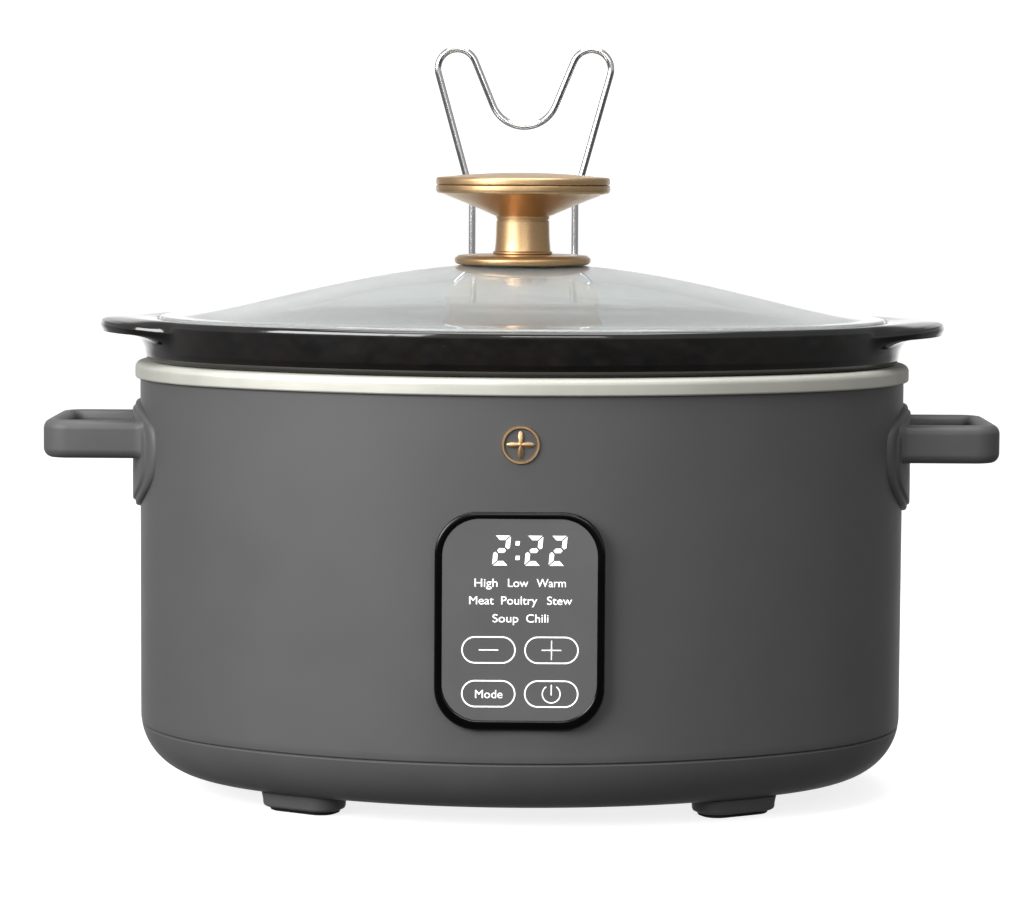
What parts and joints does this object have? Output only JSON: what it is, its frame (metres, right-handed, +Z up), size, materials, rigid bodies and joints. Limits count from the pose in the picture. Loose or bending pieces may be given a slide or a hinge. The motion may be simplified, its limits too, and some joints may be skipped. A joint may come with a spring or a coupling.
{
  "type": "slow cooker",
  "caption": "Oval countertop slow cooker: lift-out glazed stoneware crock in a heated steel body, glass lid with metal knob, side handles, touch panel and a wire lid holder at the back.",
  "frame": {"origin": "on the table, at the middle of the oval body", "axes": "+Z up, -Y towards the user (control panel side), +X to the user's right along the long side"},
  "size_m": [0.431, 0.274, 0.3427],
  "materials": {
    "wall_paint": "satin grey paint",
    "brushed_rim": "brushed aluminised steel",
    "grey_moulding": "fine matte texture",
    "black_rubber": "matte",
    "plated_steel": "bright zinc plate",
    "chrome_wire": "polished",
    "black_glaze": "high gloss glaze",
    "clear_glass": "tempered, clear",
    "champagne_metal": "satin champagne lacquer",
    "black_bezel": "gloss",
    "panel_face": "satin printed film",
    "black_plastic": "matte",
    "white_plastic": "matte",
    "circuit_board": "solder mask",
    "mica_band": "woven glass sleeve",
    "lead_sleeve": "woven glass sleeve",
    "relay_case": "matte",
    "winding_tape": "tape",
    "silicone": "matte"
  },
  "bodies": {
    "base": {"outer_wall": "wall_paint", "heating_well": "brushed_rim", "base_pan": "grey_moulding", "bottom_cover": "plated_steel", "foot_front_left": "grey_moulding", "foot_front_right": "grey_moulding", "foot_rear_left": "grey_moulding", "foot_rear_right": "grey_moulding", "pad_front_left": "black_rubber", "pad_front_right": "black_rubber", "pad_rear_left": "black_rubber", "pad_rear_right": "black_rubber", "handle_left": "grey_moulding", "handle_right": "grey_moulding", "handle_screws": "plated_steel", "handle_washers": "plated_steel", "holder_bracket": "grey_moulding", "bracket_screws": "plated_steel", "cord_gland": "black_plastic", "badge": "champagne_metal", "bezel": "black_bezel", "touch_lens": "panel_face", "light_guide": "white_plastic", "display_module": "black_plastic", "key_sensors": "plated_steel", "control_board": "circuit_board", "control_cover": "black_plastic", "panel_screws": "plated_steel", "control_cable": "black_plastic", "heater_band": "mica_band", "band_strap_upper": "plated_steel", "band_strap_lower": "plated_steel", "band_springs": "plated_steel", "temperature_sensor": "plated_steel", "sensor_bracket": "plated_steel", "thermal_fuse": "white_plastic", "fuse_clip": "plated_steel", "centre_stud": "plated_steel", "centre_spacer": "plated_steel", "centre_nut": "plated_steel", "base_screws": "plated_steel", "power_board": "circuit_board", "board_standoffs": "white_plastic", "relay": "relay_case", "transformer": "winding_tape", "filter_capacitor": "winding_tape", "mains_terminal": "black_plastic", "heat_shield": "plated_steel", "heater_leads": "lead_sleeve"},
    "crock": {"stoneware_crock": "black_glaze"},
    "lid": {"lid_glass": "clear_glass", "knob_gasket_upper": "silicone", "knob_gasket_lower": "silicone", "knob_washer": "plated_steel", "knob_screw": "plated_steel", "knob_base": "champagne_metal", "knob_neck": "champagne_metal", "knob_cone": "champagne_metal", "knob_cap": "champagne_metal"},
    "lid_holder": {"lid_holder_wire": "chrome_wire"}
  },
  "joints": [
    {"name": "crock_lift", "type": "slide", "parent": "base", "child": "crock", "axis": [0, 0, 1], "range_m": [0, 0.17]},
    {"name": "lid_lift", "type": "slide", "parent": "crock", "child": "lid", "axis": [0, 0, 1], "range_m": [0, 0.12]},
    {"name": "lid_holder_slide", "type": "slide", "parent": "base", "child": "lid_holder", "axis": [0, 0, 1], "range_m": [0, 0.035]}
  ]
}
